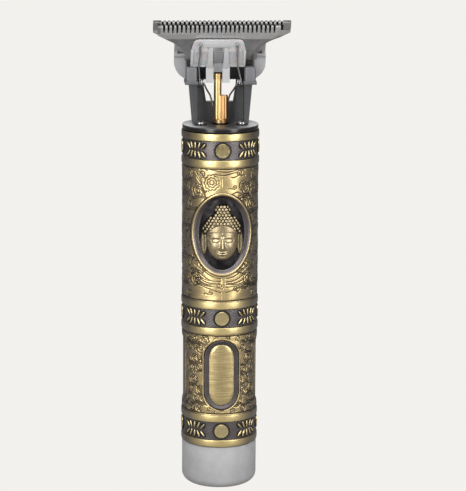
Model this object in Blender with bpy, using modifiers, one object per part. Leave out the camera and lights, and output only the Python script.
"""Cordless beard trimmer with a T blade, standing upright on its bottom cap.

Frame: metres, +Z up the handle, the relief medallion and the drive fork face -Y,
origin at the middle of the bottom face.  The motor's axis is the Z axis.
"""
import math

import bmesh
import bpy
from mathutils import Matrix, Vector

# ---------------------------------------------------------------- driving sizes, metres
GAP = 0.0003                    # clearance left between pieces that touch
RUNNING_GAP = 0.00006           # radial clearance of the shaft in its bushes
ROUND = 32                      # sides of the large turned pieces
FINE_ROUND = 16                 # sides of shafts and screws

# handle casing and its rings
CASING_RADIUS = 0.0133
CASING_WALL = 0.0020
RING_HEIGHT = 0.0025            # each smooth ring
FRIEZE_HEIGHT = 0.0064          # each decorated band between two rings
LOWER_PANEL = 0.0285
UPPER_PANEL = 0.0463
PANEL_INSET = 0.00035           # friezes and panels lie this far inside the rings

# medallion and pill windows
MEDALLION_HALF_WIDTH = 0.0100
MEDALLION_HALF_HEIGHT = 0.0145
MEDALLION_RISE = 0.0008         # above the middle of the upper panel
HEAD_SET = 0.94                 # the head's middle lies this share of the way out to its plate
MEDALLION_DEPTH = 0.0015        # recess floor below the ring radius
MEDALLION_PLATE = 0.0004
HEAD_HALF_WIDTH = 0.0068
HEAD_HALF_HEIGHT = 0.0082
HEAD_PROUD = 0.0003             # the relief head stands this far out past the rings
BUN_RADIUS = 0.0024
PILL_HALF_WIDTH = 0.0059
PILL_HALF_HEIGHT = 0.0122
PILL_DEPTH = 0.00125
PILL_BORDER = 0.00135           # groove and rim around each inlay
INLAY_THICKNESS = 0.0005

# bottom cap
CAP_HEIGHT = 0.0150
CAP_STEP = 0.00035              # cap radius below the casing's
CAP_EDGE = 0.0030               # rounding of the lower edge
CAP_FLOOR = 0.0020
CAP_WALL = 0.0020
SPIGOT_LENGTH = 0.0050
SPIGOT_WALL = 0.0010
BUTTON_RADIUS = 0.0045
BUTTON_LIP = 0.0008
BUTTON_RECESS = 0.0005          # face of the button above the resting plane
BUTTON_TRAVEL = 0.0010
STEM_RADIUS = 0.0015
SOCKET_SIZE = (0.0090, 0.0032)
SOCKET_WALL = 0.0004
SOCKET_OFFSET = 0.0074
PIPE_RADIUS = 0.0010
PIPE_OFFSET = 0.0072

# circuit board and cell
BOARD_HEIGHT = 0.0120           # underside of the board
BOARD_THICKNESS = 0.0012
SWITCH_SIZE = 0.0060
SWITCH_HEIGHT = 0.0040
LED_SIZE = 0.0020
LED_HEIGHT = 0.0016
CELL_RADIUS = 0.0070
CELL_LENGTH = 0.0490
CELL_NUB = (0.0025, 0.0010)     # radius and height of the positive end
CONTACT_RADIUS = 0.0050
CONTACT_THICKNESS = 0.0003
HOLDER_WALL = 0.0007
HOLDER_FLOOR = 0.0015
LEAD_RADIUS = 0.0005
LEAD_BEND = 0.004               # each lead turns upward within this height

# motor
HOLDER_HEIGHT = 0.0050
MOTOR_RADIUS = 0.0102
MOTOR_HALF_FLAT = 0.0077        # half the distance across the can's flats
MOTOR_LENGTH = 0.0290
CAN_WALL = 0.0008
END_CAP_HEIGHT = 0.0027
BUSH_RADIUS = 0.0030
BUSH_LENGTH = 0.0036
SHAFT_RADIUS = 0.0010
CORE_RADIUS = 0.0061
CORE_LENGTH = 0.0200
CORE_SLOT = 0.0012
MAGNET_HALF_WIDTH = 0.0052
COMMUTATOR_RADIUS = 0.0025
COMMUTATOR_LENGTH = 0.0030
BRUSH_SIZE = (0.0022, 0.0016, 0.0015)

# eccentric
ECCENTRIC_RADIUS = 0.00255
SHAFT_SHARE = 0.7               # the shaft fills this share of the eccentric's height
ECCENTRIC_HEIGHT = 0.0094
ECCENTRIC_THROW = 0.0010
PIN_RADIUS = 0.00125
PIN_BELOW_BLADE = 0.0042        # the pin's top below the blade's lower edge

# blade bracket
DISC_THICKNESS = 0.0015
LEG_HEIGHT = 0.0143             # disc top to the ledge under the blade base
LEG_TOP_HALF = 0.0107
LEG_FOOT_HALF = 0.0094
LEG_RIB_INNER = 0.0080
LEG_FRONT = -0.0015
WALL_FRONT = 0.0042
WALL_BACK = 0.0070
WINDOW_HALF = 0.0056            # see-through window between the legs
WINDOW_SILL = 0.0069            # window's lower edge above the disc
KNUCKLE_INNER = 0.0077
KNUCKLE_OUTER = 0.0121
KNUCKLE_HEIGHT = 0.0051
KNUCKLE_FRONT = -0.0022
KNUCKLE_ROUNDING = 0.0008
KNUCKLE_BACK = 0.0029
LEDGE_THICKNESS = 0.0009
SCREW_SPREAD = 0.0070           # bracket screws, to each side of the axis
SCREW_FORWARD = 0.0035
SCREW_HEAD = (0.00155, 0.0010)  # radius and height
SCREW_SHANK = (0.0008, 0.0050)

# blade head
BLADE_RISE = 0.0071             # ledge to the lower edge of the fixed blade
BLADE_BACKSET = 0.0018
BLADE_LEAN = math.radians(35.0)
BLADE_HALF_WIDTH = 0.0230
BLADE_LENGTH = 0.0165
BLADE_THICKNESS = 0.0012
NECK_HALF = 0.0122
NECK_HEIGHT = 0.0028            # where the neck starts to widen
WING_HALF = 0.0195
WING_HEIGHT = 0.0099
TIP_CORNER = 0.0121             # height of the wing's outer lower corner
SLOT_DEPTH = 0.0034
SLOT_PITCH = 0.00147
SLOT_WIDTH = 0.00072
SLOT_COUNT = 28
CUTTER_HALF_WIDTH = 0.0205
CUTTER_THICKNESS = 0.0012
CUTTER_SETBACK = 0.0007         # cutter tips behind the comb's tips
CUTTER_FOOT = 0.0012
BASE_HALF_WIDTH = 0.0155
BASE_FOOT_HALF = 0.0110
BASE_DEPTH = 0.0035
BASE_TOP = 0.0045               # along the leaning blade
BASE_SHOULDER = 0.0055          # the base's lower corners are rounded up to here
POCKET_WALL = 0.0011            # left in front of and behind the side pockets
BASE_LIP_TOP = 0.0007
BASE_POCKET = (0.0115, 0.0143)
BASE_BACK = 0.0076
BASE_SLOPE = 0.0020             # the rear wall meets the leaning part this far down
BLADE_SCREW_SPREAD = 0.0080
BLADE_SCREW_UP = 0.0018

# drive fork and spring
FORK_HALF_WIDTH = 0.0093
FORK_TOP = 0.0108
FORK_FOOT = -0.0004
FORK_THICKNESS = 0.0010
FORK_CORNER = 0.0016
PRONG_CLEARANCE = 0.26 * ECCENTRIC_THROW   # each side of the pin
PRONG_WIDTH = 0.0025
PRONG_DEPTH = 0.0024
PRONG_ROOT = 0.0011             # prongs and web end this far above the plate's lower edge
PIN_REACH = 0.0032              # how far the prongs hang below the pin's top
WIRE_RADIUS = 0.0003
COIL_RADIUS = 0.0014
COIL_TURNS = 2
COIL_OUTER_END = 0.0074
COIL_BACKSET = 0.0009
COIL_DROP = 0.0004              # coil axis below the ledge
HOOK_HALF_SPAN = 0.0063
HOOK_HEIGHT = 0.0093
LOOP_HALF = 0.0022
LOOP_FLARE = 0.0012             # the wires come in this much on their way to the loop
LOOP_CORNER = 0.0008
LOOP_DROP = 0.0092              # loop's lower end below the coil axis
LOOP_BACKSET = 0.0035

# ---------------------------------------------------------------- heights worked out
BORE_RADIUS = CASING_RADIUS - CASING_WALL
CAP_RADIUS = CASING_RADIUS - CAP_STEP
CASING_BOTTOM = CAP_HEIGHT + GAP
TRIO_HEIGHT = 2 * RING_HEIGHT + FRIEZE_HEIGHT
LOWER_PANEL_BOTTOM = CASING_BOTTOM + TRIO_HEIGHT
UPPER_PANEL_BOTTOM = LOWER_PANEL_BOTTOM + LOWER_PANEL + TRIO_HEIGHT
CASING_TOP = UPPER_PANEL_BOTTOM + UPPER_PANEL + TRIO_HEIGHT
MEDALLION_HEIGHT = UPPER_PANEL_BOTTOM + UPPER_PANEL / 2 + MEDALLION_RISE
PILL_HEIGHT = LOWER_PANEL_BOTTOM + LOWER_PANEL / 2
DISC_BOTTOM = CASING_TOP + GAP
DISC_TOP = DISC_BOTTOM + DISC_THICKNESS
LEDGE_TOP = DISC_TOP + LEG_HEIGHT
MOTOR_HOLDER_BOTTOM = DISC_BOTTOM - GAP - HOLDER_HEIGHT
MOTOR_TOP = MOTOR_HOLDER_BOTTOM - GAP
MOTOR_BOTTOM = MOTOR_TOP - MOTOR_LENGTH
END_CAP_BOTTOM = MOTOR_BOTTOM - GAP - END_CAP_HEIGHT
SPIGOT_RADIUS = BORE_RADIUS - GAP
SPIGOT_TOP = CAP_HEIGHT + SPIGOT_LENGTH
CELL_HOLDER_BOTTOM = SPIGOT_TOP + GAP
CELL_BOTTOM = CELL_HOLDER_BOTTOM + HOLDER_FLOOR + CONTACT_THICKNESS + 2 * GAP
CELL_TOP = CELL_BOTTOM + CELL_LENGTH + CELL_NUB[1]
CELL_HOLDER_TOP = CELL_TOP + CONTACT_THICKNESS + 2 * GAP + HOLDER_FLOOR
CRADLE_RADIUS = CELL_RADIUS + GAP + HOLDER_WALL
ECCENTRIC_BOTTOM = DISC_TOP + GAP
ECCENTRIC_TOP = ECCENTRIC_BOTTOM + ECCENTRIC_HEIGHT
BLADE_FOOT = LEDGE_TOP + BLADE_RISE
PIN_TOP = BLADE_FOOT - PIN_BELOW_BLADE
CUTTER_REST = -ECCENTRIC_THROW          # the pin starts at -X, so the cutter starts left
CUTTER_BACK = -GAP                      # cutter's rear face, along the blade's normal
CUTTER_FACE = CUTTER_BACK - CUTTER_THICKNESS
FORK_BACK = CUTTER_FACE - GAP
FORK_FACE = FORK_BACK - FORK_THICKNESS
COIL_AXIS_HEIGHT = LEDGE_TOP - COIL_DROP


# ---------------------------------------------------------------- scene, materials, helpers
for old in list(bpy.data.objects):
    bpy.data.objects.remove(old, do_unlink=True)

trimmer = bpy.data.collections.new("beard_trimmer")
cutters = bpy.data.collections.new("cutters")
bpy.context.scene.collection.children.link(trimmer)
bpy.context.scene.collection.children.link(cutters)

FINISHES = {
    "antique_brass": ((0.52, 0.40, 0.18), 0.38, 1.0),
    "dark_patina": ((0.06, 0.05, 0.05), 0.45, 1.0),
    "brushed_gold": ((0.60, 0.47, 0.22), 0.30, 1.0),
    "grey_plastic": ((0.47, 0.47, 0.47), 0.55, 0.0),
    "dark_plastic": ((0.08, 0.08, 0.085), 0.40, 0.0),
    "base_plastic": ((0.36, 0.36, 0.37), 0.45, 0.0),
    "milky_plastic": ((0.72, 0.73, 0.74), 0.35, 0.0),
    "blade_steel": ((0.42, 0.42, 0.43), 0.28, 1.0),
    "screw_steel": ((0.60, 0.60, 0.61), 0.25, 1.0),
    "spring_steel": ((0.38, 0.38, 0.39), 0.25, 1.0),
    "brass": ((0.75, 0.52, 0.24), 0.22, 1.0),
    "motor_steel": ((0.50, 0.51, 0.52), 0.35, 1.0),
    "magnet": ((0.10, 0.10, 0.11), 0.60, 0.0),
    "copper": ((0.72, 0.38, 0.22), 0.35, 1.0),
    "carbon": ((0.03, 0.03, 0.03), 0.70, 0.0),
    "cell_wrap": ((0.10, 0.25, 0.45), 0.40, 0.0),
    "board_green": ((0.05, 0.22, 0.10), 0.50, 0.0),
    "black_plastic": ((0.02, 0.02, 0.02), 0.45, 0.0),
    "lead_red": ((0.50, 0.03, 0.03), 0.50, 0.0),
    "lead_black": ((0.02, 0.02, 0.02), 0.50, 0.0),
    "clear_plastic": ((0.80, 0.82, 0.84), 0.15, 0.0),
}


def finish(name):
    """The material of one finish, made the first time it is asked for."""
    material = bpy.data.materials.get(name)
    if material is None:
        colour, roughness, metallic = FINISHES[name]
        material = bpy.data.materials.new(name)
        material.use_nodes = True
        shader = material.node_tree.nodes["Principled BSDF"]
        shader.inputs["Base Color"].default_value = (*colour, 1.0)
        shader.inputs["Roughness"].default_value = roughness
        shader.inputs["Metallic"].default_value = metallic
    return material


def place(name, mesh, finish_name, parent=None, location=(0, 0, 0)):
    """Links a mesh as one sub-part of the trimmer."""
    piece = bpy.data.objects.new(name, mesh)
    mesh.materials.clear()
    mesh.materials.append(finish(finish_name))
    trimmer.objects.link(piece)
    piece.location = location
    piece.parent = parent
    return piece


def hide_cutter(cutter):
    cutters.objects.link(cutter)
    cutter.hide_render = True
    cutter.display_type = "WIRE"
    return cutter


def cutter_from(mesh, name, parent=None):
    cutter = hide_cutter(bpy.data.objects.new(name, mesh))
    cutter.parent = parent
    return cutter


def combine(piece, cutter, operation):
    step = piece.modifiers.new(operation.lower() + "_" + cutter.name, "BOOLEAN")
    step.operation = operation
    step.object = cutter
    step.solver = "EXACT"
    return piece


def cut(piece, cutter):
    return combine(piece, cutter, "DIFFERENCE")


def join(piece, cutter):
    return combine(piece, cutter, "UNION")


def keep_inside(piece, cutter):
    return combine(piece, cutter, "INTERSECT")


def shade(mesh):
    mesh.shade_smooth()
    mesh.set_sharp_from_angle(angle=math.radians(35))
    return mesh


def box_mesh(name, low, high):
    """A box between two opposite corners."""
    middle = [(a + b) / 2 for a, b in zip(low, high)]
    size = [b - a for a, b in zip(low, high)]
    shape = bmesh.new()
    bmesh.ops.create_cube(shape, size=1.0)
    bmesh.ops.scale(shape, vec=size, verts=shape.verts)
    bmesh.ops.translate(shape, vec=middle, verts=shape.verts)
    mesh = bpy.data.meshes.new(name)
    shape.to_mesh(mesh)
    shape.free()
    return mesh


def rod_mesh(name, radius, low, high, centre=(0, 0), sides=FINE_ROUND, axis="Z"):
    """A round bar along Z, or along Y with centre given as (x, z)."""
    shape = bmesh.new()
    bmesh.ops.create_cone(shape, cap_ends=True, segments=sides, radius1=radius,
                          radius2=radius, depth=high - low)
    bmesh.ops.translate(shape, vec=(0, 0, (low + high) / 2), verts=shape.verts)
    if axis == "Y":
        turn = Matrix.Rotation(-math.pi / 2, 3, "X")
        bmesh.ops.rotate(shape, matrix=turn, verts=shape.verts)
        bmesh.ops.translate(shape, vec=(centre[0], 0, centre[1]), verts=shape.verts)
    else:
        bmesh.ops.translate(shape, vec=(centre[0], centre[1], 0), verts=shape.verts)
    mesh = bpy.data.meshes.new(name)
    shape.to_mesh(mesh)
    shape.free()
    return shade(mesh)


def turned(name, profile, finish_name, closed=False, sides=ROUND):
    """A profile of (radius, height) points, down its outer side, turned about Z."""
    mesh = bpy.data.meshes.new(name)
    points = [(radius, 0.0, height) for radius, height in profile]
    edges = [(i, i + 1) for i in range(len(points) - 1)]
    if closed:
        edges.append((len(points) - 1, 0))
    mesh.from_pydata(points, edges, [])
    piece = place(name, mesh, finish_name)
    screw = piece.modifiers.new("turn", "SCREW")
    screw.axis = "Z"
    screw.steps = screw.render_steps = sides
    screw.use_merge_vertices = True
    screw.merge_threshold = 0.00001
    screw.use_smooth_shade = False
    return piece


def ring_profile(inner, outer, low, high):
    return [(outer, high), (outer, low), (inner, low), (inner, high)]


def plate_mesh(name, outlines, low, high):
    """Flat outlines in the XZ plane, given a thickness between two Y places."""
    curve = bpy.data.curves.new(name, "CURVE")
    curve.dimensions = "2D"
    curve.fill_mode = "BOTH"
    curve.extrude = (high - low) / 2
    for outline in outlines:
        spline = curve.splines.new("POLY")
        spline.points.add(len(outline) - 1)
        for point, (x, z) in zip(spline.points, outline):
            point.co = (x, z, 0.0, 1.0)
        spline.use_cyclic_u = True
    flat = bpy.data.objects.new(name, curve)
    bpy.context.scene.collection.objects.link(flat)
    bpy.context.view_layer.update()
    shape = flat.evaluated_get(bpy.context.evaluated_depsgraph_get())
    mesh = bpy.data.meshes.new_from_object(shape)
    bpy.data.objects.remove(flat, do_unlink=True)
    bpy.data.curves.remove(curve)
    upright = Matrix.Translation((0, (low + high) / 2, 0)) @ Matrix.Rotation(math.pi / 2, 4, "X")
    mesh.transform(upright)
    solid = bmesh.new()
    solid.from_mesh(mesh)
    bmesh.ops.remove_doubles(solid, verts=solid.verts, dist=0.000001)
    bmesh.ops.recalc_face_normals(solid, faces=solid.faces)
    solid.to_mesh(mesh)
    solid.free()
    mesh.name = name
    return mesh


def turn_mesh(mesh, angle, axis):
    mesh.transform(Matrix.Rotation(angle, 4, axis))
    return mesh


def mirrored(half):
    """Closes an outline whose points run up its right half."""
    return half + [(-x, z) for x, z in reversed(half)]


def circle(radius, centre=(0.0, 0.0), sides=FINE_ROUND):
    return [(centre[0] + radius * math.cos(2 * math.pi * i / sides),
             centre[1] + radius * math.sin(2 * math.pi * i / sides)) for i in range(sides)]


def oval(half_width, half_height, height, sides=ROUND):
    return [(x * half_width, height + z * half_height) for x, z in circle(1.0, sides=sides)]


def pill(half_width, half_height, height, sides=12):
    """An outline with straight sides and two round ends."""
    straight = half_height - half_width
    top = [(half_width * math.cos(math.pi * i / sides),
            height + straight + half_width * math.sin(math.pi * i / sides))
           for i in range(sides + 1)]
    return top + [(-x, 2 * height - z) for x, z in top]


def bend(start, pull, end, steps):
    """Points of a quadratic curve after its start, up to its end."""
    a, b, c = Vector(start), Vector(pull), Vector(end)
    path = []
    for i in range(1, steps + 1):
        t = i / steps
        path.append(tuple((1 - t) ** 2 * a + 2 * t * (1 - t) * b + t * t * c))
    return path


# ---------------------------------------------------------------- handle casing
def make_casing():
    inset = CASING_RADIUS - PANEL_INSET
    stretches = [UPPER_PANEL, LOWER_PANEL]
    profile = []
    height = CASING_TOP
    for panel in stretches + [0.0]:
        for length, radius in ((RING_HEIGHT, CASING_RADIUS), (FRIEZE_HEIGHT, inset),
                               (RING_HEIGHT, CASING_RADIUS), (panel, inset)):
            if length > 0:
                profile += [(radius, height), (radius, height - length)]
                height -= length
    profile += [(BORE_RADIUS, CASING_BOTTOM), (BORE_RADIUS, CASING_TOP)]
    casing = turned("casing_tube", profile, "antique_brass", closed=True)

    recess = window_cutter("medallion_recess", oval(MEDALLION_HALF_WIDTH,
                           MEDALLION_HALF_HEIGHT, MEDALLION_HEIGHT), MEDALLION_DEPTH, 0)
    cut(casing, recess)
    for turn in range(4):
        outline = pill(PILL_HALF_WIDTH, PILL_HALF_HEIGHT, PILL_HEIGHT)
        cut(casing, window_cutter(f"pill_recess_{turn}", outline, PILL_DEPTH, turn))


def curved_slab(name, outline, inner, outer, quarter):
    """A ring about the handle, kept where an outline is thrown on it from the front."""
    low = min(z for x, z in outline) - GAP
    high = max(z for x, z in outline) + GAP
    slab = turned(name, ring_profile(inner, outer, low, high), "dark_patina", closed=True)
    prism = cutter_from(plate_mesh(name, [outline], -2 * outer, 0.0), name + "_outline")
    keep_inside(slab, prism)
    prism.rotation_euler.z = quarter * math.pi / 2
    return slab


def window_cutter(name, outline, depth, quarter):
    """The space of a window: its outline, from the recess floor outwards."""
    space = curved_slab(name, outline, CASING_RADIUS - depth, 1.5 * CASING_RADIUS, quarter)
    trimmer.objects.unlink(space)
    return hide_cutter(space)


def curved_plate(name, outline, depth, thickness, quarter, finish_name):
    """A plate bent round the handle, lying a gap above its recess floor."""
    inner = CASING_RADIUS - depth + GAP
    piece = curved_slab(name, outline, inner, inner + thickness, quarter)
    piece.data.materials[0] = finish(finish_name)
    return piece


def make_windows():
    outline = oval(MEDALLION_HALF_WIDTH - GAP, MEDALLION_HALF_HEIGHT - GAP, MEDALLION_HEIGHT)
    curved_plate("medallion_plate", outline, MEDALLION_DEPTH, MEDALLION_PLATE, 0,
                 "dark_patina")
    for turn, side in enumerate(("front", "right", "back", "left")):
        outline = pill(PILL_HALF_WIDTH - PILL_BORDER, PILL_HALF_HEIGHT - PILL_BORDER,
                       PILL_HEIGHT)
        curved_plate("inlay_" + side, outline, PILL_DEPTH, INLAY_THICKNESS, turn,
                     "brushed_gold")


def make_relief_head():
    """A plain head with a hair bun, standing on the curved plate."""
    floor = CASING_RADIUS - MEDALLION_DEPTH + 2 * GAP + MEDALLION_PLATE
    reach = HEAD_SET * floor            # the head's own middle lies just behind the plate
    head_reach = CASING_RADIUS + HEAD_PROUD
    solids = []
    for name, size, height in (
            ("relief_head", (HEAD_HALF_WIDTH, head_reach - reach, HEAD_HALF_HEIGHT), 0.0),
            ("hair_bun", (BUN_RADIUS, head_reach - GAP - reach, BUN_RADIUS),
             HEAD_HALF_HEIGHT - GAP)):
        shape = bmesh.new()
        bmesh.ops.create_uvsphere(shape, u_segments=20, v_segments=12, radius=1.0)
        bmesh.ops.scale(shape, vec=size, verts=shape.verts)
        centre = (0, -reach, MEDALLION_HEIGHT - BUN_RADIUS / 2 + height)
        bmesh.ops.translate(shape, vec=centre, verts=shape.verts)
        mesh = bpy.data.meshes.new(name)
        shape.to_mesh(mesh)
        shape.free()
        solids.append(shade(mesh))
    head = place("relief_head", solids[0], "antique_brass")
    join(head, cutter_from(solids[1], "hair_bun"))
    seat = rod_mesh("head_seat", floor, -CASING_RADIUS, DISC_TOP, sides=ROUND)
    cut(head, cutter_from(seat, "head_seat"))


# ---------------------------------------------------------------- bottom cap and its pieces
def make_cap():
    edge = [(CAP_RADIUS - CAP_EDGE + CAP_EDGE * math.cos(a), CAP_EDGE - CAP_EDGE * math.sin(a))
            for a in [math.pi / 2 * i / 6 for i in range(7)]]
    throat = SPIGOT_RADIUS - SPIGOT_WALL
    room = CAP_RADIUS - CAP_WALL
    shoulder = CAP_HEIGHT - SPIGOT_WALL
    profile = [(SPIGOT_RADIUS, SPIGOT_TOP), (SPIGOT_RADIUS, CAP_HEIGHT),
               (CAP_RADIUS, CAP_HEIGHT)] + edge
    profile += [(BUTTON_RADIUS + GAP, 0.0), (BUTTON_RADIUS + GAP, CAP_FLOOR),
                (room, CAP_FLOOR), (room, shoulder), (throat, shoulder),
                (throat, SPIGOT_TOP)]
    cap = turned("bottom_cap", profile, "grey_plastic", closed=True)
    half = [size / 2 + GAP for size in SOCKET_SIZE]
    port = box_mesh("port", (-half[0], SOCKET_OFFSET - half[1], -GAP),
                    (half[0], SOCKET_OFFSET + half[1], CAP_FLOOR + GAP))
    cut(cap, cutter_from(port, "port"))
    hole = rod_mesh("pipe_hole", PIPE_RADIUS + GAP, -GAP, CAP_FLOOR + GAP,
                    centre=(0, -PIPE_OFFSET))
    cut(cap, cutter_from(hole, "pipe_hole"))


def make_button():
    switch_bottom = BOARD_HEIGHT - GAP - SWITCH_HEIGHT
    flange = CAP_FLOOR + GAP
    stem_top = switch_bottom - GAP - BUTTON_TRAVEL
    profile = [(0.0, stem_top), (STEM_RADIUS, stem_top),
               (STEM_RADIUS, flange + BUTTON_LIP),
               (BUTTON_RADIUS + BUTTON_LIP, flange + BUTTON_LIP),
               (BUTTON_RADIUS + BUTTON_LIP, flange), (BUTTON_RADIUS, flange),
               (BUTTON_RADIUS, BUTTON_RECESS), (0.0, BUTTON_RECESS)]
    turned("power_button", profile, "dark_plastic", sides=FINE_ROUND)


def make_board():
    radius = SPIGOT_RADIUS - SPIGOT_WALL - 2 * GAP
    under = BOARD_HEIGHT - GAP
    board = rod_mesh("circuit_board", radius, BOARD_HEIGHT, BOARD_HEIGHT + BOARD_THICKNESS,
                     sides=ROUND)
    place("circuit_board", board, "board_green")
    half = SWITCH_SIZE / 2
    switch = box_mesh("push_switch", (-half, -half, under - SWITCH_HEIGHT),
                      (half, half, under))
    place("push_switch", switch, "black_plastic")

    wide, deep = (size / 2 for size in SOCKET_SIZE)
    mouth = CAP_FLOOR + GAP
    shell = box_mesh("charging_socket", (-wide, SOCKET_OFFSET - deep, mouth),
                     (wide, SOCKET_OFFSET + deep, under))
    socket = place("charging_socket", shell, "motor_steel")
    wide, deep = wide - SOCKET_WALL, deep - SOCKET_WALL
    inside = box_mesh("socket_mouth", (-wide, SOCKET_OFFSET - deep, mouth - GAP),
                      (wide, SOCKET_OFFSET + deep, under - 2 * SOCKET_WALL))
    cut(socket, cutter_from(inside, "socket_mouth"))

    half = LED_SIZE / 2
    led = box_mesh("indicator_led", (-half, -PIPE_OFFSET - half, under - LED_HEIGHT),
                   (half, -PIPE_OFFSET + half, under))
    place("indicator_led", led, "clear_plastic")
    pipe = rod_mesh("light_pipe", PIPE_RADIUS, GAP, under - LED_HEIGHT - GAP,
                    centre=(0, -PIPE_OFFSET))
    place("light_pipe", pipe, "clear_plastic")


# ---------------------------------------------------------------- cell and leads
def make_cell():
    floor = CELL_HOLDER_BOTTOM + HOLDER_FLOOR
    ceiling = CELL_HOLDER_TOP - HOLDER_FLOOR
    inner = CELL_RADIUS + GAP
    profile = [(0.0, CELL_HOLDER_TOP), (CRADLE_RADIUS, CELL_HOLDER_TOP),
               (CRADLE_RADIUS, floor), (SPIGOT_RADIUS, floor),
               (SPIGOT_RADIUS, CELL_HOLDER_BOTTOM), (0.0, CELL_HOLDER_BOTTOM)]
    holder = turned("cell_holder", profile, "black_plastic")
    bay = rod_mesh("cell_bay", inner, floor, ceiling, sides=ROUND)
    cut(holder, cutter_from(bay, "cell_bay"))
    mouth = box_mesh("cell_mouth", (-inner, -2 * CRADLE_RADIUS, floor), (inner, 0.0, ceiling))
    cut(holder, cutter_from(mouth, "cell_mouth"))
    for side in (-1, 1):
        notch = rod_mesh("lead_notch", LEAD_RADIUS + GAP, CELL_HOLDER_BOTTOM - GAP,
                         floor + GAP, centre=(side * lead_place(), 0))
        cut(holder, cutter_from(notch, f"lead_notch_{side}"))

    top = CELL_BOTTOM + CELL_LENGTH
    profile = [(0.0, CELL_TOP), (CELL_NUB[0], CELL_TOP), (CELL_NUB[0], top),
               (CELL_RADIUS, top), (CELL_RADIUS, CELL_BOTTOM), (0.0, CELL_BOTTOM)]
    turned("battery_cell", profile, "cell_wrap")
    for name, low in (("contact_negative", floor + GAP / 2), ("contact_positive", CELL_TOP + GAP)):
        strip = rod_mesh(name, CONTACT_RADIUS, low, low + CONTACT_THICKNESS)
        place(name, strip, "copper")


def lead_place():
    """How far the leads run from the axis: between the cell cradle and the casing."""
    return CRADLE_RADIUS + GAP + LEAD_RADIUS


def make_leads():
    start = BOARD_HEIGHT + BOARD_THICKNESS + GAP + LEAD_RADIUS
    finish_height = END_CAP_BOTTOM - GAP - LEAD_RADIUS
    out = lead_place()
    inward = out - 2 * LEAD_RADIUS
    for side, name in ((-1, "lead_black"), (1, "lead_red")):
        route = [(side * inward, start), (side * inward, start + 0.001)]
        route += bend(route[-1], (side * out, start + LEAD_BEND / 2), (side * out, start + LEAD_BEND), 3)
        straight = CELL_HOLDER_TOP + GAP - start
        route += [(side * out, start + 0.004 + (straight - 0.004) * i / 4)
                  for i in range(1, 5)]
        route += bend(route[-1], (side * out, finish_height - 0.002),
                      (side * COMMUTATOR_RADIUS * 2, finish_height - 0.001), 4)
        route.append((side * COMMUTATOR_RADIUS * 2, finish_height))
        place(name, wire_mesh(name, [(x, 0.0, z) for x, z in route], LEAD_RADIUS), name)


def wire_mesh(name, route, radius):
    """A round wire along a list of points."""
    curve = bpy.data.curves.new(name, "CURVE")
    curve.dimensions = "3D"
    curve.bevel_depth = radius
    curve.bevel_resolution = 2
    curve.use_fill_caps = True
    spline = curve.splines.new("POLY")
    spline.points.add(len(route) - 1)
    for point, place_at in zip(spline.points, route):
        point.co = (*place_at, 1.0)
    guide = bpy.data.objects.new(name, curve)
    bpy.context.scene.collection.objects.link(guide)
    bpy.context.view_layer.update()
    shape = guide.evaluated_get(bpy.context.evaluated_depsgraph_get())
    mesh = bpy.data.meshes.new_from_object(shape)
    bpy.data.objects.remove(guide, do_unlink=True)
    bpy.data.curves.remove(curve)
    solid = bmesh.new()
    solid.from_mesh(mesh)
    bmesh.ops.remove_doubles(solid, verts=solid.verts, dist=0.000001)
    bmesh.ops.recalc_face_normals(solid, faces=solid.faces)
    solid.to_mesh(mesh)
    solid.free()
    mesh.name = name
    return shade(mesh)


# ---------------------------------------------------------------- motor
def flat_sided(name, radius, half_flat, low, high, finish_name):
    """A disc or can with two flats, facing the front and the back."""
    piece = place(name, rod_mesh(name, radius, low, high, sides=ROUND), finish_name)
    flats = box_mesh(name + "_flats", (-2 * radius, -half_flat, low - GAP),
                     (2 * radius, half_flat, high + GAP))
    return keep_inside(piece, cutter_from(flats, name + "_flats"))


def motor_screw_places():
    reach = (MOTOR_HALF_FLAT + BUSH_RADIUS) / 2
    return (("front", -reach), ("back", reach))


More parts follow.
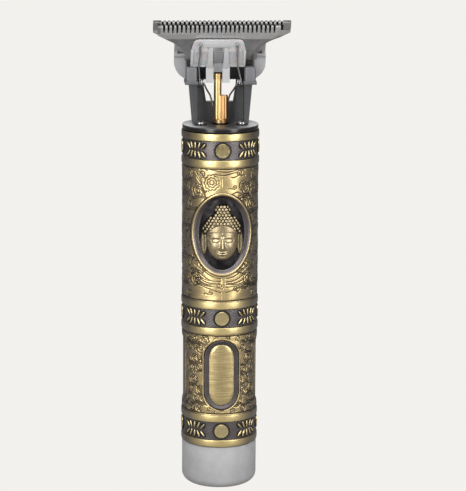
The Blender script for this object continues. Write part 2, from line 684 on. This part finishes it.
def make_motor():
    can = flat_sided("motor_can", MOTOR_RADIUS, MOTOR_HALF_FLAT, MOTOR_BOTTOM, MOTOR_TOP,
                     "motor_steel")
    hollow = rod_mesh("can_hollow", MOTOR_RADIUS - CAN_WALL, MOTOR_BOTTOM - GAP,
                      MOTOR_TOP - CAN_WALL, sides=ROUND)
    flats = box_mesh("hollow_flats", (-MOTOR_RADIUS, CAN_WALL - MOTOR_HALF_FLAT, 0.0),
                     (MOTOR_RADIUS, MOTOR_HALF_FLAT - CAN_WALL, MOTOR_TOP))
    hollow = cutter_from(hollow, "can_hollow")
    keep_inside(hollow, cutter_from(flats, "hollow_flats"))
    cut(can, hollow)
    bush_hole = rod_mesh("can_bush_hole", BUSH_RADIUS + GAP, MOTOR_TOP - 2 * CAN_WALL,
                         MOTOR_TOP + GAP)
    cut(can, cutter_from(bush_hole, "can_bush_hole"))

    end_cap = flat_sided("motor_end_cap", MOTOR_RADIUS, MOTOR_HALF_FLAT, END_CAP_BOTTOM,
                         MOTOR_BOTTOM - GAP, "dark_plastic")
    bush_hole = rod_mesh("end_bush_hole", BUSH_RADIUS + GAP, END_CAP_BOTTOM - GAP,
                         MOTOR_BOTTOM)
    cut(end_cap, cutter_from(bush_hole, "end_bush_hole"))

    bore = SHAFT_RADIUS + RUNNING_GAP
    for name, low in (("upper_bush", MOTOR_TOP - CAN_WALL),
                      ("lower_bush", END_CAP_BOTTOM - GAP)):
        turned(name, ring_profile(bore, BUSH_RADIUS, low, low + BUSH_LENGTH), "brass",
               closed=True, sides=FINE_ROUND)

    core_bottom, core_top = core_span()
    inner = CORE_RADIUS + 2 * GAP
    for side, name in ((-1, "magnet_left"), (1, "magnet_right")):
        outer = MOTOR_RADIUS - CAN_WALL - GAP
        magnet = turned(name, ring_profile(inner, outer, core_bottom, core_top), "magnet",
                        closed=True)
        near, far = sorted((side * GAP, side * MOTOR_RADIUS))
        half = box_mesh(name + "_span", (near, -MAGNET_HALF_WIDTH, 0.0),
                        (far, MAGNET_HALF_WIDTH, MOTOR_TOP))
        keep_inside(magnet, cutter_from(half, name + "_span"))

    length, width, height = BRUSH_SIZE
    low = MOTOR_BOTTOM + COMMUTATOR_LENGTH / 2
    for side, name in ((-1, "brush_left"), (1, "brush_right")):
        near = side * (COMMUTATOR_RADIUS + GAP)
        near, far = sorted((near, near + side * length))
        block = box_mesh(name, (near, -width / 2, low), (far, width / 2, low + height))
        place(name, block, "carbon")

    for place_name, y in motor_screw_places():
        head_top = DISC_BOTTOM - 2 * GAP
        make_screw("motor_screw_" + place_name, (0, y), head_top - SCREW_HEAD[1],
                   MOTOR_TOP - CAN_WALL - GAP)


def core_span():
    """Bottom and top of the armature core and of the magnets around it."""
    bottom = MOTOR_BOTTOM + COMMUTATOR_LENGTH + 6 * GAP
    return bottom, bottom + CORE_LENGTH


def make_motor_holder():
    top = MOTOR_HOLDER_BOTTOM + HOLDER_HEIGHT
    holder = turned("motor_holder", ring_profile(BUSH_RADIUS + GAP, SPIGOT_RADIUS,
                    MOTOR_HOLDER_BOTTOM, top), "black_plastic", closed=True)
    shank, _ = SCREW_SHANK
    for side in (-1, 1):
        hole = rod_mesh("holder_hole", shank + GAP, MOTOR_HOLDER_BOTTOM - GAP, top + GAP,
                        centre=(side * SCREW_SPREAD, -SCREW_FORWARD))
        cut(holder, cutter_from(hole, f"holder_hole_{side}"))
    can = bpy.data.objects["motor_can"]
    for name, y in motor_screw_places():
        hole = rod_mesh("motor_screw_hole", shank + GAP, MOTOR_TOP - 2 * CAN_WALL,
                        top + GAP, centre=(0, y))
        hole = cutter_from(hole, "motor_screw_hole_" + name)
        cut(holder, hole)
        cut(can, hole)
        seat = rod_mesh("motor_screw_seat", SCREW_HEAD[0] + GAP,
                        top - SCREW_HEAD[1] - 2 * GAP, top + GAP, centre=(0, y))
        cut(holder, cutter_from(seat, "motor_screw_seat_" + name))


def make_screw(name, centre, head_bottom, tip, finish_name="screw_steel"):
    """A pan-head screw pointing down, with a cross in its head."""
    radius, height = SCREW_HEAD
    head_top = head_bottom + height
    chamfer = height / 3
    profile = [(0.0, head_top), (radius - chamfer, head_top), (radius, head_top - chamfer),
               (radius, head_bottom), (SCREW_SHANK[0], head_bottom), (SCREW_SHANK[0], tip),
               (0.0, tip)]
    screw = turned(name, profile, finish_name, sides=FINE_ROUND)
    screw.location = (*centre, 0.0)
    cross(screw, radius, head_top, height, name)
    return screw


def cross(screw, radius, head_top, height, name):
    long, short = 0.6 * radius, 0.15 * radius
    for number, (x, y) in enumerate(((long, short), (short, long))):
        slot = box_mesh(f"{name}_slot_{number}", (-x, -y, head_top - height / 2),
                        (x, y, head_top + height))
        cutter = cutter_from(slot, f"{name}_slot_{number}")
        cutter.location = screw.location
        cutter.parent = screw.parent
        cut(screw, cutter)
    return screw


# ---------------------------------------------------------------- rotor
def make_rotor():
    core_bottom, core_top = core_span()
    bore = SHAFT_RADIUS + GAP
    core = turned("rotor_core", ring_profile(bore, CORE_RADIUS, core_bottom, core_top),
                  "motor_steel", closed=True)
    for pole in range(3):
        slot = box_mesh("pole_slot", (2 * bore, -CORE_SLOT / 2, core_bottom - GAP),
                        (2 * CORE_RADIUS, CORE_SLOT / 2, core_top + GAP))
        turn_mesh(slot, 2 * math.pi * pole / 3, "Z")
        cut(core, cutter_from(slot, f"pole_slot_{pole}"))
    low = MOTOR_BOTTOM + 2 * GAP
    turned("commutator", ring_profile(bore, COMMUTATOR_RADIUS, low, low + COMMUTATOR_LENGTH),
           "copper", closed=True, sides=FINE_ROUND)
    shaft_bottom = END_CAP_BOTTOM - 3 * GAP
    shaft_top = ECCENTRIC_BOTTOM + ECCENTRIC_HEIGHT * SHAFT_SHARE
    place("motor_shaft", rod_mesh("motor_shaft", SHAFT_RADIUS, shaft_bottom, shaft_top),
          "motor_steel")

    bore_top = shaft_top + GAP
    profile = [(0.0, ECCENTRIC_TOP), (ECCENTRIC_RADIUS, ECCENTRIC_TOP),
               (ECCENTRIC_RADIUS, ECCENTRIC_BOTTOM), (bore, ECCENTRIC_BOTTOM),
               (bore, bore_top), (0.0, bore_top)]
    eccentric = turned("eccentric", profile, "brass", sides=FINE_ROUND)
    pin = rod_mesh("crank_pin", PIN_RADIUS, bore_top + GAP, PIN_TOP, centre=(CUTTER_REST, 0))
    join(eccentric, cutter_from(pin, "crank_pin"))


# ---------------------------------------------------------------- blade bracket
def make_bracket():
    hole = ECCENTRIC_RADIUS + 2 * GAP
    bracket = turned("blade_bracket", ring_profile(hole, CASING_RADIUS - PANEL_INSET,
                     DISC_BOTTOM, DISC_TOP), "dark_plastic", closed=True)
    ledge_bottom = LEDGE_TOP - LEDGE_THICKNESS
    legs = plate_mesh("legs", [mirrored([(LEG_FOOT_HALF, DISC_TOP - DISC_THICKNESS / 2),
                      (LEG_TOP_HALF, LEDGE_TOP)])], LEG_FRONT, WALL_BACK)
    legs = cutter_from(legs, "legs")
    room = box_mesh("leg_room", (-LEG_RIB_INNER, LEG_FRONT - GAP, DISC_BOTTOM),
                    (LEG_RIB_INNER, WALL_FRONT, LEDGE_TOP + GAP))
    cut(legs, cutter_from(room, "leg_room"))
    sill = DISC_TOP + WINDOW_SILL
    window = box_mesh("window", (-WINDOW_HALF, LEG_FRONT - GAP, sill),
                      (WINDOW_HALF, WALL_BACK + GAP, LEDGE_TOP + GAP))
    cut(legs, cutter_from(window, "window"))
    join(bracket, legs)
    for side, name in ((-1, "left"), (1, "right")):
        near, far = sorted((side * KNUCKLE_INNER, side * KNUCKLE_OUTER))
        ledge = box_mesh("ledge_" + name, (near, KNUCKLE_FRONT, ledge_bottom),
                         (far, WALL_BACK - GAP, LEDGE_TOP + GAP / 2))
        join(bracket, cutter_from(ledge, "ledge_" + name))
        knuckle = box_mesh("knuckle_" + name, (near + GAP, KNUCKLE_FRONT + GAP, LEDGE_TOP - GAP),
                           (far - GAP, KNUCKLE_BACK, LEDGE_TOP + KNUCKLE_HEIGHT))
        knuckle = cutter_from(knuckle, "knuckle_" + name)
        rounding = knuckle.modifiers.new("rounding", "BEVEL")
        rounding.width = KNUCKLE_ROUNDING
        rounding.segments = 3
        join(bracket, knuckle)
        centre = (side * SCREW_SPREAD, -SCREW_FORWARD)
        hole = rod_mesh("bracket_hole", SCREW_SHANK[0] + GAP, DISC_BOTTOM - GAP,
                        DISC_TOP + GAP, centre=centre)
        cut(bracket, cutter_from(hole, "bracket_hole_" + name))
        head_bottom = DISC_TOP + GAP
        make_screw("bracket_screw_" + name, centre, head_bottom, head_bottom - SCREW_SHANK[1])


# ---------------------------------------------------------------- blade head
def lean_frame(shift=0.0):
    """An empty at the blade's lower edge, leaning forward: its Z runs to the teeth."""
    frame = bpy.data.objects.new("blade_frame", None)
    trimmer.objects.link(frame)
    frame.location = (shift, BLADE_BACKSET, BLADE_FOOT)
    frame.rotation_euler = (BLADE_LEAN, 0.0, 0.0)
    return frame


def lean_point(across, up):
    """World (y, z) of a point of the leaning frame."""
    y = BLADE_BACKSET + across * math.cos(BLADE_LEAN) - up * math.sin(BLADE_LEAN)
    z = BLADE_FOOT + across * math.sin(BLADE_LEAN) + up * math.cos(BLADE_LEAN)
    return y, z


def comb_outline(half_width, foot, tip, corner, wing, neck):
    """A T plate whose top edge is cut into teeth."""
    half = [(neck, foot), (neck, NECK_HEIGHT)]
    half += bend(half[-1], (neck * 1.07, wing[1] * 0.74), wing, 6)
    half += [(half_width, corner), (half_width, tip)]
    outline = list(half)
    root = BLADE_LENGTH - SLOT_DEPTH
    for number in range(SLOT_COUNT):
        middle = ((SLOT_COUNT - 1) / 2 - number) * SLOT_PITCH
        if abs(middle) + SLOT_WIDTH < half_width:
            wide, narrow = SLOT_WIDTH / 2, SLOT_WIDTH / 3
            outline += [(middle + wide, tip), (middle + narrow, root),
                        (middle - narrow, root), (middle - wide, tip)]
    return outline + [(-x, z) for x, z in reversed(half)]


def make_blades(head, moving):
    outline = comb_outline(BLADE_HALF_WIDTH, 0.0, BLADE_LENGTH, TIP_CORNER,
                           (WING_HALF, WING_HEIGHT), NECK_HALF)
    holes = [circle(SCREW_SHANK[0] + GAP, (side * BLADE_SCREW_SPREAD, BLADE_SCREW_UP))
             for side in (-1, 1)]
    fixed = plate_mesh("fixed_blade", [outline] + holes, 0.0, BLADE_THICKNESS)
    place("fixed_blade", fixed, "blade_steel", head)

    inset = BLADE_HALF_WIDTH - CUTTER_HALF_WIDTH
    outline = comb_outline(CUTTER_HALF_WIDTH, CUTTER_FOOT, BLADE_LENGTH - CUTTER_SETBACK,
                           TIP_CORNER, (WING_HALF - inset, WING_HEIGHT),
                           NECK_HALF - ECCENTRIC_THROW)
    cutter = plate_mesh("moving_cutter", [outline], CUTTER_FACE, CUTTER_BACK)
    place("moving_cutter", cutter, "blade_steel", moving)


def make_base(head):
    front = BLADE_THICKNESS + GAP
    back = front + BASE_DEPTH
    foot = LEDGE_TOP + GAP
    shoulder_y, shoulder_z = lean_point(front, 0.0)
    side = [lean_point(front, BASE_TOP), (shoulder_y, shoulder_z),
            (KNUCKLE_BACK + 2 * GAP, shoulder_z - GAP), (KNUCKLE_BACK + 2 * GAP, foot),
            (BASE_BACK, foot), (BASE_BACK, shoulder_z - BASE_SLOPE),
            lean_point(back, 0.0), lean_point(back, BASE_TOP)]
    depth = plate_mesh("base_depth", [side], -2 * BASE_HALF_WIDTH, 2 * BASE_HALF_WIDTH)
    depth = cutter_from(turn_mesh(depth, math.pi / 2, "Z"), "base_depth")

    top = lean_point(back, BASE_TOP)[1] + GAP
    shoulder = foot + BASE_SHOULDER
    half = [(BASE_FOOT_HALF, foot - GAP)]
    half += bend(half[0], (BASE_HALF_WIDTH, foot + BASE_SHOULDER / 3), (BASE_HALF_WIDTH, shoulder), 6)
    half.append((BASE_HALF_WIDTH, top))
    base = place("blade_base", plate_mesh("blade_base", [mirrored(half)], -BASE_BACK,
                 2 * BASE_BACK), "base_plastic")
    keep_inside(base, depth)

    inner, outer = BASE_POCKET
    for sign, name in ((-1, "left"), (1, "right")):
        near, far = sorted((sign * inner, sign * outer))
        pocket = box_mesh("base_pocket", (near, front + POCKET_WALL, -BASE_TOP / 2),
                          (far, back - POCKET_WALL, 2 * BASE_TOP))
        cut(base, cutter_from(pocket, "base_pocket_" + name, head))
        near, far = sorted((sign * inner, sign * 2 * outer))
        lip = box_mesh("base_lip", (near, front - 0.001, BASE_LIP_TOP),
                       (far, back - POCKET_WALL, 2 * BASE_TOP))
        cut(base, cutter_from(lip, "base_lip_" + name, head))
        hole = rod_mesh("base_hole", SCREW_SHANK[0] + GAP, 0.0, 2 * back,
                        centre=(sign * BLADE_SCREW_SPREAD, BLADE_SCREW_UP), axis="Y")
        cut(base, cutter_from(hole, "base_hole_" + name, head))
        blade_screw(name, sign, back + GAP, head)


def blade_screw(name, sign, seat, head):
    """A screw that holds the fixed blade, with its head behind the base."""
    screw = make_screw("blade_screw_" + name, (0, 0), seat, GAP)
    turn = Matrix.Translation((sign * BLADE_SCREW_SPREAD, 0, BLADE_SCREW_UP))
    turn = turn @ Matrix.Rotation(-math.pi / 2, 4, "X")
    screw.parent = head
    screw.matrix_local = turn
    for step in screw.modifiers:
        if step.type == "BOOLEAN":
            step.object.parent = head
            step.object.matrix_local = turn


# ---------------------------------------------------------------- drive fork
def make_fork(moving):
    corner = FORK_CORNER
    half = [(FORK_HALF_WIDTH, FORK_FOOT), (FORK_HALF_WIDTH, FORK_FOOT + 4 * corner)]
    half += bend((FORK_HALF_WIDTH - corner / 2, FORK_TOP - corner),
                 (FORK_HALF_WIDTH - corner / 2, FORK_TOP),
                 (FORK_HALF_WIDTH - 2 * corner, FORK_TOP), 4)
    plate = plate_mesh("drive_fork", [mirrored(half)], FORK_FACE, FORK_BACK)
    fork = place("drive_fork", plate, "milky_plastic", moving)

    slot = PIN_RADIUS + PRONG_CLEARANCE
    root = lean_point(FORK_FACE, FORK_FOOT)[1] + PRONG_ROOT
    foot = PIN_TOP - PIN_REACH
    body = box_mesh("prongs", (-slot - PRONG_WIDTH, -PRONG_DEPTH / 2, foot),
                    (slot + PRONG_WIDTH, PRONG_DEPTH / 2, root))
    body = cutter_from(body, "prongs")
    gap = box_mesh("pin_slot", (-slot, -PRONG_DEPTH, foot - GAP),
                   (slot, PRONG_DEPTH, PIN_TOP + 2 * GAP))
    gap = cutter_from(gap, "pin_slot")
    cut(body, gap)
    for piece in (body, gap):
        piece.location.x = CUTTER_REST
    join(fork, body)


# ---------------------------------------------------------------- tension spring
def spring_route():
    """The wire's centre line: hook, leg, coil, loop, coil, leg, hook."""
    half = []
    hook_y, hook_z = lean_point(FORK_FACE - GAP - WIRE_RADIUS, HOOK_HEIGHT)
    tip_y, tip_z = lean_point(FORK_FACE - GAP - WIRE_RADIUS, HOOK_HEIGHT + 3 * WIRE_RADIUS)
    lead = COIL_TURNS * 2 * math.pi
    pitch = 2.2 * WIRE_RADIUS
    start = COIL_OUTER_END - WIRE_RADIUS
    half.append((HOOK_HALF_SPAN - 2 * WIRE_RADIUS, tip_y, tip_z))
    half.append((HOOK_HALF_SPAN, hook_y, hook_z))
    steps = COIL_TURNS * 10
    for i in range(steps + 1):
        angle = math.pi + lead * i / steps
        half.append((start - pitch * COIL_TURNS * i / steps,
                     COIL_BACKSET + COIL_RADIUS * math.cos(angle),
                     COIL_AXIS_HEIGHT + COIL_RADIUS * math.sin(angle)))
    bottom = COIL_AXIS_HEIGHT - LOOP_DROP
    half.append((LOOP_HALF + LOOP_FLARE, LOOP_BACKSET, (COIL_AXIS_HEIGHT + bottom) / 2))
    half += [(LOOP_HALF, LOOP_BACKSET, bottom + LOOP_CORNER),
             (LOOP_HALF * 0.7, LOOP_BACKSET, bottom)]
    right = [(x, y, z) for x, y, z in half]
    right[0] = (right[0][0] + CUTTER_REST, *right[0][1:])
    right[1] = (right[1][0] + CUTTER_REST, *right[1][1:])
    left = [(-x, y, z) for x, y, z in half]
    left[0] = (left[0][0] + CUTTER_REST, *left[0][1:])
    left[1] = (left[1][0] + CUTTER_REST, *left[1][1:])
    return left + right[::-1]


def make_spring():
    place("tension_spring", wire_mesh("tension_spring", spring_route(), WIRE_RADIUS),
          "spring_steel")


# ---------------------------------------------------------------- the whole trimmer
make_casing()
make_windows()
make_relief_head()
make_cap()
make_button()
make_board()
make_cell()
make_leads()
make_motor()
make_motor_holder()
make_rotor()
make_bracket()
head_frame = lean_frame()
cutter_frame = lean_frame(CUTTER_REST)
bpy.context.view_layer.update()
make_blades(head_frame, cutter_frame)
make_base(head_frame)
make_fork(cutter_frame)
make_spring()
bpy.context.view_layer.update()
